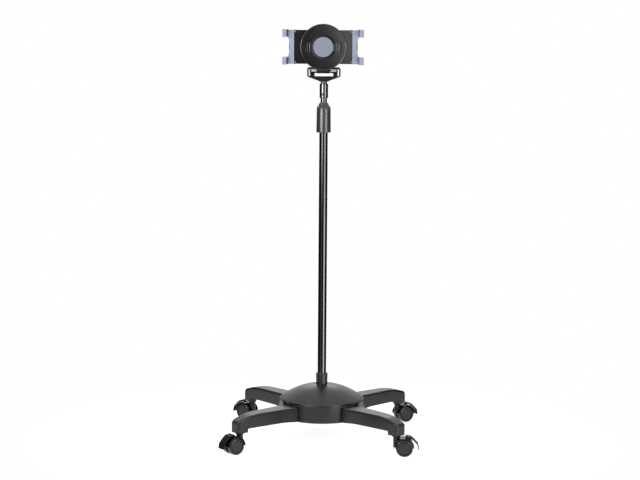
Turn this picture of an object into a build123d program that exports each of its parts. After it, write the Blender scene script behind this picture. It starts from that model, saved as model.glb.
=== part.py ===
from build123d import *
from math import cos, pi, radians, sin, sqrt
import os

# Adjustable tablet floor stand on a four-leg rolling base.
# Millimetres, +Z up. The origin is on the floor under the pole's axis and the front is -Y.
# Head pieces are placed by their distance in front of the pole's axis, which is -Y.

# Clearances and cuts
running_gap = 0.05
body_gap = 0.3
slide_gap = 0.3
cut_overrun = 4.0

# Caster wheels and hoods, in a frame with the stem's axis at 0 and the wheels trailing to +X
wheel_radius = 25.0
wheel_width = 17.0
wheel_tread_round = 2.5
wheel_shoulder = 4.0
wheel_ring_outer = 21.0
wheel_ring_width = 2.2
wheel_dish_depth = 1.4
wheel_cap_radius = 6.0
wheel_cap_height = 0.7
wheel_side_gap = 0.8
wheel_pocket_gap = 1.2
caster_trail = 23.0
hood_thickness = 2.8
hood_web = 8.0
hood_boss_radius = 9.5
hood_top = 55.0
hood_axle_boss = 8.0
axle_radius = 3.0
axle_end_cover = 2.8
stem_radius = 5.5
stem_pin_radius = 2.5
stem_pin_bottom = 30.0
stem_step_height = 46.5
stem_flange_radius = 7.5
stem_flange_thickness = 1.5
stem_top = 92.0

# Brake lever, places measured from the wheels' centre
brake_pivot_x = 6.0
brake_pivot_z = 32.2
brake_pin_radius = 1.5
brake_barrel_radius = 2.6
brake_ear_radius = 2.8
brake_ear_width = 6.0
brake_notch_radius = 5.5
brake_half_width = 14.0
brake_thickness = 2.8
brake_crown_x = 18.0
brake_crown_z = 31.0
brake_slope_x = 29.0
brake_slope_z = 21.5
brake_knee_x = 39.0
brake_knee_z = 10.0
brake_toe_x = 42.0
brake_toe_z = -5.0

# Where each caster's wheels trail to, in degrees from +X
caster_angles = {
    "front_right": 2.0,
    "front_left": 220.0,
    "rear_right": 31.0,
    "rear_left": 147.0,
}
leg_angles = {
    "front_right": -45.0,
    "front_left": -135.0,
    "rear_right": 45.0,
    "rear_left": 135.0,
}

# Legs
leg_block_bottom = 62.0
leg_root_bottom = 68.0
leg_under = 73.0
leg_top = 112.0
leg_knee_z = 108.0
leg_tip_z = 95.0
leg_inner_end = 60.0
leg_rise_length = 44.5
leg_slope_length = 32.0
leg_knee_reach = 21.0
leg_block_reach = 13.0
leg_end_reach = 20.0
leg_root_half = 34.0
leg_tip_half = 20.5
leg_tip_round = 12.0
leg_bevel = 4.5
leg_bevel_drop = 2.5
caster_radius = 321.0

# Hub, dome and what holds the pole
hub_radius = 127.5
hub_wall = 4.5
hub_top = 120.5
hub_lip_chamfer = 0.8
deck_thickness = 4.0
hub_boss_radius = 16.0
hub_boss_top = 150.0
hub_rib_thickness = 3.0
hub_rib_height = 14.0
hub_rib_count = 8
dome_margin = 3.0
dome_rise = 43.6
dome_wall = 2.5
dome_rim = 1.0
base_plate_margin = 5.0
base_plate_thickness = 3.0
leg_bolt_radius = 3.0
leg_bolt_head_radius = 5.5
leg_bolt_head = 3.5
leg_bolt_depth = 24.0
leg_bolt_inner = 78.0
leg_bolt_outer = 106.0
pole_foot_radius = 42.0
pole_foot_thickness = 6.0
pole_foot_plug = 34.0
pole_bolt_radius = 5.0
pole_bolt_head_radius = 9.5
pole_bolt_head = 6.5
pole_bolt_length = 28.0
collar_radius = 17.25
collar_top = 196.0
collar_chamfer = 1.8

# Telescopic pole
lower_pole_radius = 12.7
lower_pole_wall = 1.6
lower_pole_top = 960.0
upper_pole_radius = 9.525
upper_pole_wall = 1.2
upper_pole_bottom = 300.0
upper_pole_top = 1040.0
bush_length = 26.0
bush_flange = 4.0
deck_hole_gap = 0.2

# Twist lock
grip_bottom = 918.0
grip_shoulder = 989.0
grip_seam = 998.0
grip_top = 1005.4
grip_bottom_radius = 21.6
grip_shoulder_radius = 20.7
grip_shoulder_bulge = 0.9
grip_seam_radius = 16.0
grip_nose_step = 0.8
grip_nose_radius = 12.6
grip_edge_round = 1.6
grip_seam_depth = 0.5
grip_seam_width = 1.0
grip_bore_top = 975.5
lock_radius = 17.5
lock_bottom = 925.0
lock_top = 975.0
lock_thread_depth = 0.7
lock_thread_pitch = 4.0
lock_thread_count = 6
collet_bottom_radius = 14.0
collet_top_radius = 11.4
collet_top = 1000.0
collet_slit = 1.6
collet_slit_count = 4
collet_solid_height = 5.0

# Head socket, snap button and pan pivot
socket_radius = 12.7
socket_bottom = 1019.2
socket_top = 1061.8
socket_chamfer = 1.2
socket_cap_bottom = 1048.3
snap_height = 1030.0
snap_angle = -106.0
snap_radius = 3.2
snap_hole_gap = 0.55
snap_inner = 3.5
snap_outer = 13.5
snap_flange_radius = 4.2
snap_flange_outer = 6.9
snap_flange_thickness = 1.4
snap_dome_round = 1.0
pan_spigot_radius = 6.0
pan_screw_radius = 2.5
pan_screw_depth = 10.0
pan_head_radius = 7.8
pan_head_height = 4.5

# Yoke
neck_radius = 9.5
neck_height = 12.0
yoke_foot_z = 1067.5
yoke_corner_z = 1082.6
yoke_top = 1110.0
yoke_half_width = 49.2
yoke_arm = 4.4
yoke_bar = 6.4
yoke_half_depth = 9.5
yoke_top_round = 7.0
yoke_corner_round = 5.0
yoke_slit_bottom = 1084.8
yoke_window_bottom = 1084.0
yoke_window_half = 27.4
yoke_foot_outer = 40.0
yoke_foot_top = 1092.4
yoke_gusset_low = 1079.5
yoke_gusset_front_z = 1089.0
yoke_edge_round = 1.2

# Tilt hinge and bracket
hinge_front = 14.0
hinge_z = 1100.4
ear_radius = 5.8
ear_width = 2.5
knuckle_half = 19.4
knuckle_radius = 7.0
spacer_radius = 3.4
spacer_gap = 0.3
tilt_axle_radius = 2.5
tilt_axle_cap_radius = 3.8
tilt_axle_cap = 1.6
bracket_back = 30.0
bracket_thickness = 4.0
bracket_low_half = 18.5
bracket_half_width = 26.0
bracket_wide_z = 1122.0
bracket_neck_top = 1103.4
bracket_neck_bottom = 1092.8
bracket_rib = 3.0
bracket_rib_x = 14.0
bracket_rib_top = 1150.0
bracket_rib_depth = 7.0

# Rotating holder
holder_z = 1170.4
washer_thickness = 1.5
washer_radius = 18.0
washer_bore_gap = 0.5
hub_flange = 4.0
hub_flange_radius = 30.0
hub_spigot_radius = 6.0
hub_spigot_proud = 0.3
rotation_screw_radius = 2.5
rotation_screw_depth = 9.0
rotation_head_radius = 10.0
rotation_head_height = 4.0
housing_radius = 64.0
housing_depth = 12.0
housing_wall = 2.5
housing_edge_round = 1.5
housing_screw_x = 22.0
housing_screw_z = 56.2
housing_screw_radius = 1.5
housing_screw_head_radius = 3.2
housing_screw_head = 2.0
housing_screw_bite = 4.0
disc_radius = 67.4
disc_thickness = 8.0
disc_edge_round = 3.2
disc_groove_inner = 38.5
disc_groove_outer = 47.0
disc_groove_depth = 1.6
disc_groove_round = 0.7
pad_radius = 30.0
pad_thickness = 3.0
pad_recess = 1.2
pad_edge_round = 0.8

# Slides, pinion and jaws
plate_thickness = 3.0
plate_half_height = 49.2
plate_inner = 17.0
plate_outer = 100.0
plate_corner_round = 3.0
rack_half_length = 30.0
rack_thickness = 5.0
rack_back_height = 6.4
rack_offset = 0.6
gear_module = 1.25
gear_teeth = 16
gear_flank_angle = 70.0
gear_reach_share = 0.74
gear_tip_share = 0.2
gear_root_share = 0.46
pinion_pin_radius = 3.0
pinion_shoulder_radius = 5.0
jaw_inner = 85.0
jaw_bar_outer = 103.0
jaw_waist = 98.0
jaw_front = 8.7
jaw_half_height = 49.5
jaw_tongue_inner = 79.4
jaw_tongue = 3.0
jaw_edge_round = 1.4
jaw_screw_x = 82.0
jaw_screw_z = 44.0
jaw_screw_radius = 1.4
jaw_screw_head_radius = 2.1
jaw_screw_head = 1.2
lug_low = 28.5
lug_high = 51.0
lug_outer = 118.5
lug_wall = 4.6
lug_base = 4.0
lug_lip = 12.0
lug_lip_thickness = 5.0
lug_reach = 22.5
lug_edge_round = 1.3
lug_foot = 1.0
jaw_pad = 1.6
jaw_pad_margin = 2.0

# Places worked out from the driving sizes
pitch_radius = gear_module * gear_teeth / 2
tooth_pitch = gear_module * pi
wheel_inner_y = hood_web / 2 + wheel_side_gap
wheel_outer_y = wheel_inner_y + wheel_width
hood_half_width = wheel_outer_y
pocket_radius = wheel_radius + wheel_pocket_gap
hood_radius = pocket_radius + hood_thickness
deck_top = leg_top + deck_thickness
leg_end = caster_radius + leg_end_reach
leg_block_start = caster_radius - leg_block_reach
leg_knee = caster_radius - leg_knee_reach
leg_slope_start = leg_knee - leg_slope_length
leg_rise_end = hub_radius + leg_rise_length
pole_bottom = leg_root_bottom + pole_foot_thickness
base_plate_bottom = leg_root_bottom - base_plate_thickness
lower_pole_bore = lower_pole_radius - lower_pole_wall
upper_pole_bore = upper_pole_radius - upper_pole_wall
base_plate_radius = hub_radius - hub_wall - base_plate_margin
dome_radius = hub_radius - dome_margin
dome_hole = collar_radius + body_gap
dome_sphere = (dome_radius**2 + dome_rise**2) / (2 * dome_rise)
dome_centre_z = hub_top + dome_rim + dome_rise - dome_sphere
bracket_front = bracket_back + bracket_thickness
washer_front = bracket_front + washer_thickness
hub_front = washer_front + hub_flange
housing_front = hub_front + housing_depth
plate_back = housing_front + slide_gap
plate_front = plate_back + plate_thickness
disc_back = plate_front + slide_gap
disc_front = disc_back + disc_thickness
pad_back = disc_front - pad_recess
rail_z = plate_half_height + slide_gap
rack_front = housing_front - rack_offset / 2

os.makedirs("parts", exist_ok=True)


def save(piece, name):
    """Label one finished piece and write it as its own file."""
    piece.label = name
    export_step(piece, f"parts/{name}.step")


# Shared frames: the wheels' axis in the caster's frame and the head's axes
wheel_axis = Axis((caster_trail, 0, wheel_radius), (0, 1, 0))
wheel_side = Plane(origin=(caster_trail, 0, wheel_radius), x_dir=(1, 0, 0), z_dir=(0, -1, 0))
wheel_section = Plane(origin=(caster_trail, 0, wheel_radius), x_dir=(1, 0, 0), z_dir=(0, 0, 1))
holder_face = Plane(origin=(0, 0, holder_z), x_dir=(1, 0, 0), z_dir=(0, -1, 0))
hinge_side = Plane(origin=(0, -hinge_front, hinge_z), x_dir=(0, -1, 0), z_dir=(-1, 0, 0))


def caster_place(corner):
    """Stem's place under a leg's tip, turned to the way its wheels trail."""
    angle = radians(leg_angles[corner])
    spot = (caster_radius * cos(angle), caster_radius * sin(angle), 0)
    return Location(spot, (0, 0, caster_angles[corner]))


# Caster stems: a stepped steel pin with a flange under the leg, one solid at each corner
with BuildPart() as stem:
    with BuildSketch(Plane.XY.offset(stem_pin_bottom)):
        Circle(stem_pin_radius)
    extrude(amount=leg_block_bottom - stem_pin_bottom)
    with BuildSketch(Plane.XY.offset(stem_step_height)):
        Circle(stem_radius)
    extrude(amount=stem_top - stem_step_height)
    with BuildSketch(Plane.XY.offset(leg_block_bottom - stem_flange_thickness)):
        Circle(stem_flange_radius)
    extrude(amount=stem_flange_thickness)
stems = [stem.part.moved(caster_place(corner)) for corner in leg_angles]
save(Compound(children=stems), "caster_stems")

# Caster hood: arch over both wheels, web between them, stem boss and ear for the brake
with BuildPart() as hood:
    with BuildSketch(wheel_side):
        Circle(hood_radius)
        with Locations((0, -hood_radius)):
            Rectangle(2 * hood_radius, 2 * hood_radius, mode=Mode.SUBTRACT)
    extrude(amount=hood_half_width, both=True)
    with BuildSketch(Plane.XY.offset(wheel_radius)):
        Circle(hood_boss_radius)
    extrude(amount=hood_top - wheel_radius)
    with BuildSketch(wheel_side.offset(hood_web / 2)):
        Circle(pocket_radius)
    extrude(amount=wheel_width + wheel_side_gap + cut_overrun, mode=Mode.SUBTRACT)
    with BuildSketch(wheel_side.offset(-hood_web / 2)):
        Circle(pocket_radius)
    extrude(amount=-(wheel_width + wheel_side_gap + cut_overrun), mode=Mode.SUBTRACT)
    with BuildSketch(wheel_side):
        Circle(hood_axle_boss)
    extrude(amount=hood_web / 2, both=True)
    with BuildSketch(wheel_side):
        with Locations((brake_pivot_x, brake_pivot_z)):
            Circle(brake_ear_radius)
        with Locations((brake_pivot_x, (brake_pivot_z + pocket_radius) / 2)):
            Rectangle(2 * brake_ear_radius, brake_pivot_z - pocket_radius)
    extrude(amount=brake_ear_width / 2, both=True)
    with BuildSketch(wheel_side):
        Circle(axle_radius + running_gap)
        with Locations((brake_pivot_x, brake_pivot_z)):
            Circle(brake_pin_radius + running_gap)
    extrude(amount=hood_half_width, both=True, mode=Mode.SUBTRACT)
    with BuildSketch(Plane.XY.offset(stem_pin_bottom - body_gap)):
        Circle(stem_pin_radius + running_gap)
    extrude(amount=hood_top, mode=Mode.SUBTRACT)
    with BuildSketch(Plane.XY.offset(stem_step_height - body_gap)):
        Circle(stem_radius + running_gap)
    extrude(amount=hood_top, mode=Mode.SUBTRACT)

# Axle: a plain steel rod through the web into both wheels
axle_half = wheel_outer_y - axle_end_cover
with BuildPart() as axle:
    with BuildSketch(wheel_side):
        Circle(axle_radius)
    extrude(amount=axle_half, both=True)

# Wheel: moulded disc with rounded tread, a raised ring and a small hub cap on its outer face
ring_inner = wheel_ring_outer - wheel_ring_width
dish_y = wheel_outer_y - wheel_dish_depth
with BuildPart() as wheel:
    with BuildSketch(wheel_section):
        with BuildLine():
            Polyline(
                (0, axle_half + body_gap),
                (axle_radius + running_gap, axle_half + body_gap),
                (axle_radius + running_gap, wheel_inner_y),
                (wheel_radius - wheel_tread_round, wheel_inner_y),
            )
            RadiusArc(
                (wheel_radius - wheel_tread_round, wheel_inner_y),
                (wheel_radius, wheel_inner_y + wheel_tread_round),
                -wheel_tread_round,
            )
            Line(
                (wheel_radius, wheel_inner_y + wheel_tread_round),
                (wheel_radius, wheel_outer_y - wheel_shoulder),
            )
            RadiusArc(
                (wheel_radius, wheel_outer_y - wheel_shoulder),
                (wheel_ring_outer, wheel_outer_y),
                -wheel_shoulder,
            )
            Polyline(
                (wheel_ring_outer, wheel_outer_y),
                (ring_inner, wheel_outer_y),
                (ring_inner - wheel_dish_depth, dish_y),
                (wheel_cap_radius + wheel_cap_height, dish_y),
                (wheel_cap_radius, dish_y + wheel_cap_height),
                (0, dish_y + wheel_cap_height),
                (0, axle_half + body_gap),
            )
        make_face()
    revolve(axis=wheel_axis)

# Brake lever: a bent pedal behind the hood, hinged on the hood's ear
brake_points = [
    (brake_pivot_x, brake_pivot_z),
    (brake_crown_x, brake_crown_z),
    (brake_slope_x, brake_slope_z),
    (brake_knee_x, brake_knee_z),
    (brake_toe_x, brake_toe_z),
]
with BuildPart() as brake:
    with BuildSketch(wheel_side):
        with BuildLine():
            Polyline(*brake_points)
        trace(line_width=brake_thickness)
        with Locations(brake_points[0]):
            Circle(brake_barrel_radius)
    extrude(amount=brake_half_width, both=True)
    with BuildSketch(wheel_side):
        with Locations(brake_points[0]):
            Circle(brake_notch_radius)
    extrude(amount=brake_ear_width / 2 + body_gap, both=True, mode=Mode.SUBTRACT)
    with BuildSketch(wheel_side):
        with Locations(brake_points[0]):
            Circle(brake_pin_radius)
    extrude(amount=brake_half_width, both=True)

mirrored_wheel = mirror(wheel.part, about=Plane.XZ)
for corner in caster_angles:
    place = caster_place(corner)
    save(hood.part.moved(place), f"caster_hood_{corner}")
    save(axle.part.moved(place), f"caster_axle_{corner}")
    save(wheel.part.moved(place), f"wheel_a_{corner}")
    save(mirrored_wheel.moved(place), f"wheel_b_{corner}")
    save(brake.part.moved(place), f"brake_lever_{corner}")

# Leg: tapered arm along +X with a bevelled top and a deeper block at the tip for the stem
with BuildPart() as leg:
    with BuildSketch(Plane.XY.offset(leg_block_bottom)) as leg_plan:
        with BuildLine():
            Polyline(
                (leg_inner_end, -leg_root_half),
                (hub_radius, -leg_root_half),
                (leg_end, -leg_tip_half),
                (leg_end, leg_tip_half),
                (hub_radius, leg_root_half),
                (leg_inner_end, leg_root_half),
                close=True,
            )
        make_face()
        fillet(leg_plan.vertices().group_by(Axis.X)[-1], leg_tip_round)
    extrude(amount=leg_top - leg_block_bottom)
    with BuildSketch(Plane.XZ):
        with BuildLine():
            Polyline(
                (leg_inner_end, leg_root_bottom),
                (hub_radius, leg_root_bottom),
                (leg_rise_end, leg_under),
                (leg_block_start, leg_under),
                (leg_block_start, leg_block_bottom),
                (leg_end, leg_block_bottom),
                (leg_end, leg_tip_z),
                (leg_knee, leg_knee_z),
                (leg_slope_start, leg_top),
                (leg_inner_end, leg_top),
                close=True,
            )
        make_face()
    extrude(amount=leg_root_half, both=True, mode=Mode.INTERSECT)
    upper_faces = leg.faces().filter_by(lambda f: f.normal_at().Z > cos(radians(45)))
    rim_edges = upper_faces.edges().filter_by(
        lambda e: abs(e.center().Y) > leg_bevel or e.center().X > leg_end - leg_bevel
    )
    chamfer(rim_edges, leg_bevel_drop, leg_bevel, reference=None)
    with BuildSketch(Plane.XY.offset(leg_block_bottom)):
        with Locations((caster_radius, 0)):
            Circle(stem_radius + running_gap)
    extrude(amount=stem_top - leg_block_bottom, mode=Mode.SUBTRACT)
    with BuildSketch(Plane.XY.offset(leg_root_bottom)):
        with Locations((leg_bolt_inner, 0), (leg_bolt_outer, 0)):
            Circle(leg_bolt_radius + running_gap)
    extrude(amount=leg_bolt_depth, mode=Mode.SUBTRACT)

for corner, angle in leg_angles.items():
    save(leg.part.rotate(Axis.Z, angle), f"leg_{corner}")

# Hub: ring wall cut open for the leg roots, a deck over them and a boss round the pole
with BuildPart() as base_hub:
    with BuildSketch(Plane.XY.offset(leg_root_bottom)):
        Circle(hub_radius)
        Circle(hub_radius - hub_wall, mode=Mode.SUBTRACT)
    extrude(amount=hub_top - leg_root_bottom)
    chamfer(base_hub.edges().group_by(Axis.Z)[-1].sort_by(SortBy.RADIUS)[-1], hub_lip_chamfer)
    with BuildSketch(Plane.XY.offset(leg_root_bottom)):
        with PolarLocations(hub_radius, 4, start_angle=45):
            Rectangle(4 * hub_wall + leg_root_half, 2 * (leg_root_half + body_gap))
    extrude(amount=leg_top - leg_root_bottom, mode=Mode.SUBTRACT)
    with BuildSketch(Plane.XY.offset(leg_top)):
        Circle(hub_radius - hub_wall / 2)
    extrude(amount=deck_thickness)
    with BuildSketch(Plane.XY.offset(deck_top)):
        Circle(hub_boss_radius)
    extrude(amount=hub_boss_top - deck_top)
    rib_length = (dome_radius + hub_boss_radius) / 2
    with BuildSketch(Plane.XY.offset(deck_top)):
        with PolarLocations(hub_boss_radius / 2 + rib_length / 2, hub_rib_count, start_angle=22.5):
            Rectangle(rib_length, hub_rib_thickness)
    extrude(amount=hub_rib_height)
    with BuildSketch(Plane.XY.offset(leg_top)):
        Circle(lower_pole_radius + deck_hole_gap)
    extrude(amount=hub_boss_top - leg_top, mode=Mode.SUBTRACT)
save(base_hub.part, "base_hub")


def dome_height(radius, sphere):
    """Height of a sphere about the dome's centre at a distance from the pole's axis."""
    return dome_centre_z + sqrt(sphere**2 - radius**2)


# Dome cover: a shallow spherical shell with a skirt inside the hub's wall
skirt_radius = hub_radius - hub_wall - body_gap
skirt_inner = skirt_radius - dome_wall
dome_inner = dome_sphere - dome_wall
with BuildPart() as dome_cover:
    with BuildSketch(Plane.XZ):
        with BuildLine():
            RadiusArc(
                (dome_hole, dome_height(dome_hole, dome_sphere)),
                (dome_radius, dome_height(dome_radius, dome_sphere)),
                dome_sphere,
            )
            Polyline(
                (dome_radius, dome_height(dome_radius, dome_sphere)),
                (dome_radius, hub_top),
                (skirt_radius, hub_top),
                (skirt_radius, deck_top),
                (skirt_inner, deck_top),
                (skirt_inner, dome_height(skirt_inner, dome_inner)),
            )
            RadiusArc(
                (skirt_inner, dome_height(skirt_inner, dome_inner)),
                (dome_hole, dome_height(dome_hole, dome_inner)),
                -dome_inner,
            )
            Line(
                (dome_hole, dome_height(dome_hole, dome_inner)),
                (dome_hole, dome_height(dome_hole, dome_sphere)),
            )
        make_face()
    revolve(axis=Axis.Z)
save(dome_cover.part, "dome_cover")

# Steel plate under the hub, which the leg bolts and the pole bolt pass through
with BuildPart() as base_plate:
    with BuildSketch(Plane.XY.offset(base_plate_bottom)):
        Circle(base_plate_radius)
        Circle(pole_bolt_radius + running_gap, mode=Mode.SUBTRACT)
        for bolt_radius in (leg_bolt_inner, leg_bolt_outer):
            with PolarLocations(bolt_radius, 4, start_angle=45):
                Circle(leg_bolt_radius + running_gap, mode=Mode.SUBTRACT)
    extrude(amount=base_plate_thickness)
save(base_plate.part, "base_plate")

# Bolts from below, two up into each leg root
with BuildPart() as leg_bolts:
    with BuildSketch(Plane.XY.offset(base_plate_bottom - leg_bolt_head)):
        for bolt_radius in (leg_bolt_inner, leg_bolt_outer):
            with PolarLocations(bolt_radius, 4, start_angle=45):
                RegularPolygon(leg_bolt_head_radius, 6)
    extrude(amount=leg_bolt_head)
    with BuildSketch(Plane.XY.offset(base_plate_bottom)):
        for bolt_radius in (leg_bolt_inner, leg_bolt_outer):
            with PolarLocations(bolt_radius, 4, start_angle=45):
                Circle(leg_bolt_radius)
    extrude(amount=base_plate_thickness + leg_bolt_depth - running_gap)
save(leg_bolts.part, "leg_bolts")

# Pole foot: a flange on the plate with a plug up inside the pole
with BuildPart() as pole_foot:
    with BuildSketch(Plane.XY.offset(leg_root_bottom)):
        Circle(pole_foot_radius)
    extrude(amount=pole_foot_thickness)
    with BuildSketch(Plane.XY.offset(pole_bottom)):
        Circle(lower_pole_bore - running_gap)
    extrude(amount=pole_foot_plug)
    with BuildSketch(Plane.XY.offset(leg_root_bottom)):
        Circle(pole_bolt_radius + running_gap)
    extrude(amount=pole_bolt_length, mode=Mode.SUBTRACT)
save(pole_foot.part, "pole_foot")

with BuildPart() as pole_bolt:
    with BuildSketch(Plane.XY.offset(base_plate_bottom - pole_bolt_head)):
        RegularPolygon(pole_bolt_head_radius, 6)
    extrude(amount=pole_bolt_head)
    with BuildSketch(Plane.XY.offset(base_plate_bottom)):
        Circle(pole_bolt_radius)
    extrude(amount=base_plate_thickness + pole_bolt_length - body_gap)
save(pole_bolt.part, "pole_bolt")

# Collar that covers the joint of pole and dome
with BuildPart() as pole_collar:
    with BuildSketch(Plane.XY.offset(hub_boss_top)):
        Circle(collar_radius)
        Circle(lower_pole_radius + running_gap, mode=Mode.SUBTRACT)
    extrude(amount=collar_top - hub_boss_top)
    chamfer(pole_collar.edges().group_by(Axis.Z)[-1].sort_by(SortBy.RADIUS)[-1], collar_chamfer)
save(pole_collar.part, "pole_collar")

# Lower and upper pole tubes
with BuildPart() as lower_pole:
    with BuildSketch(Plane.XY.offset(pole_bottom)):
        Circle(lower_pole_radius)
        Circle(lower_pole_bore, mode=Mode.SUBTRACT)
    extrude(amount=lower_pole_top - pole_bottom)
save(lower_pole.part, "lower_pole")

snap_direction = (cos(radians(snap_angle)), sin(radians(snap_angle)), 0)
snap_side = (-sin(radians(snap_angle)), cos(radians(snap_angle)), 0)
snap_plane = Plane(origin=(0, 0, snap_height), x_dir=snap_side, z_dir=snap_direction)

with BuildPart() as upper_pole:
    with BuildSketch(Plane.XY.offset(upper_pole_bottom)):
        Circle(upper_pole_radius)
        Circle(upper_pole_bore, mode=Mode.SUBTRACT)
    extrude(amount=upper_pole_top - upper_pole_bottom)
    with BuildSketch(snap_plane):
        Circle(snap_radius + running_gap)
    extrude(amount=socket_radius, mode=Mode.SUBTRACT)
save(upper_pole.part, "upper_pole")

# Guide bush on the upper pole's foot, running inside the lower pole
with BuildPart() as guide_bush:
    with BuildSketch(Plane.XY.offset(upper_pole_bottom - bush_flange)):
        Circle(lower_pole_bore - running_gap)
        Circle(upper_pole_bore, mode=Mode.SUBTRACT)
    extrude(amount=bush_flange + bush_length)
    with BuildSketch(Plane.XY.offset(upper_pole_bottom)):
        Circle(upper_pole_radius + running_gap)
    extrude(amount=bush_length, mode=Mode.SUBTRACT)
save(guide_bush.part, "guide_bush")

# Lock body: a threaded ring on the lower pole's end that the grip screws over
with BuildPart() as lock_body:
    with BuildSketch(Plane.XY.offset(lock_bottom)):
        Circle(lock_radius)
    extrude(amount=lock_top - lock_bottom)
    with BuildSketch(Plane.XY.offset(lock_bottom)):
        Circle(lower_pole_radius + running_gap)
    extrude(amount=lower_pole_top - lock_bottom, mode=Mode.SUBTRACT)
    with BuildSketch(Plane.XY.offset(lower_pole_top)):
        Circle(upper_pole_radius + body_gap)
    extrude(amount=lock_top - lower_pole_top, mode=Mode.SUBTRACT)
    thread_start = (lock_bottom + lock_top) / 2 - lock_thread_pitch * lock_thread_count / 2
    for turn in range(lock_thread_count):
        with BuildSketch(Plane.XY.offset(thread_start + turn * lock_thread_pitch)):
            Circle(lock_radius)
            Circle(lock_radius - lock_thread_depth, mode=Mode.SUBTRACT)
        extrude(amount=lock_thread_pitch / 2, mode=Mode.SUBTRACT)
save(lock_body.part, "lock_body")

# Clamp collet: a slit cone that the grip squeezes on the upper pole
with BuildPart() as clamp_collet:
    with BuildSketch(Plane.XZ):
        with BuildLine():
            Polyline(
                (upper_pole_radius + running_gap, lock_top),
                (collet_bottom_radius, lock_top),
                (collet_bottom_radius, lock_top + collet_solid_height),
                (collet_top_radius, collet_top),
                (upper_pole_radius + running_gap, collet_top),
                close=True,
            )
        make_face()
    revolve(axis=Axis.Z)
    with BuildSketch(Plane.XY.offset(lock_top + collet_solid_height)):
        with PolarLocations(0, collet_slit_count):
            with Locations((collet_bottom_radius, 0)):
                Rectangle(collet_bottom_radius, collet_slit)
    extrude(amount=collet_top - lock_top, mode=Mode.SUBTRACT)
save(clamp_collet.part, "clamp_collet")

# Grip sleeve: the tapered body that is twisted, with a groove under its shoulder and a coned nose
nose_bore = collet_top_radius + body_gap
nose_foot_radius = grip_seam_radius - grip_nose_step
pole_bore = upper_pole_radius + body_gap
with BuildPart() as grip_sleeve:
    with BuildSketch(Plane.XZ):
        with BuildLine():
            Polyline(
                (lock_radius + body_gap, grip_bottom),
                (grip_bottom_radius - grip_edge_round, grip_bottom),
            )
            RadiusArc(
                (grip_bottom_radius - grip_edge_round, grip_bottom),
                (grip_bottom_radius, grip_bottom + grip_edge_round),
                -grip_edge_round,
            )
            Line((grip_bottom_radius, grip_bottom + grip_edge_round), (grip_shoulder_radius, grip_shoulder))
            ThreePointArc(
                (grip_shoulder_radius, grip_shoulder),
                (
                    (grip_shoulder_radius + grip_seam_radius) / 2 + grip_shoulder_bulge,
                    (grip_shoulder + grip_seam + grip_shoulder_bulge) / 2,
                ),
                (grip_seam_radius, grip_seam),
            )
            Polyline(
                (grip_seam_radius, grip_seam),
                (nose_foot_radius, grip_seam),
                (grip_nose_radius, grip_top),
                (pole_bore, grip_top),
                (pole_bore, collet_top + body_gap),
                (nose_bore, collet_top + body_gap),
                (collet_bottom_radius + body_gap, lock_top + collet_solid_height),
                (collet_bottom_radius + body_gap, grip_bore_top),
                (lock_radius + body_gap, grip_bore_top),
                (lock_radius + body_gap, grip_bottom),
            )
        make_face()
    revolve(axis=Axis.Z)
    with BuildSketch(Plane.XY.offset(grip_shoulder - grip_seam_width)):
        Circle(grip_bottom_radius)
        Circle(grip_shoulder_radius - grip_seam_depth, mode=Mode.SUBTRACT)
    extrude(amount=grip_seam_width, mode=Mode.SUBTRACT)
save(grip_sleeve.part, "grip_sleeve")

# Head socket over the upper pole's end, capped, with the bore for the yoke's spigot
with BuildPart() as head_socket:
    with BuildSketch(Plane.XY.offset(socket_bottom)):
        Circle(socket_radius)
    extrude(amount=socket_top - socket_bottom)
    chamfer(head_socket.edges().filter_by(GeomType.CIRCLE), socket_chamfer)
    with BuildSketch(Plane.XY.offset(socket_bottom)):
        Circle(upper_pole_radius + running_gap)
    extrude(amount=socket_cap_bottom - socket_bottom, mode=Mode.SUBTRACT)
    with BuildSketch(Plane.XY.offset(socket_cap_bottom)):
        Circle(pan_spigot_radius + running_gap)
    extrude(amount=socket_top - socket_cap_bottom, mode=Mode.SUBTRACT)
    with BuildSketch(snap_plane):
        Circle(snap_radius + snap_hole_gap)
    extrude(amount=socket_radius, mode=Mode.SUBTRACT)
save(head_socket.part, "head_socket")

# Snap button: a pin with a flange inside the pole
with BuildPart() as snap_button:
    with BuildSketch(snap_plane.offset(snap_inner)):
        Circle(snap_radius)
    extrude(amount=snap_outer - snap_inner)
    fillet(snap_button.edges().sort_by(Axis((0, 0, snap_height), snap_direction))[-1], snap_dome_round)
    with BuildSketch(snap_plane.offset(snap_flange_outer - snap_flange_thickness)):
        Circle(snap_flange_radius)
    extrude(amount=snap_flange_thickness)
save(snap_button.part, "snap_button")

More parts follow.
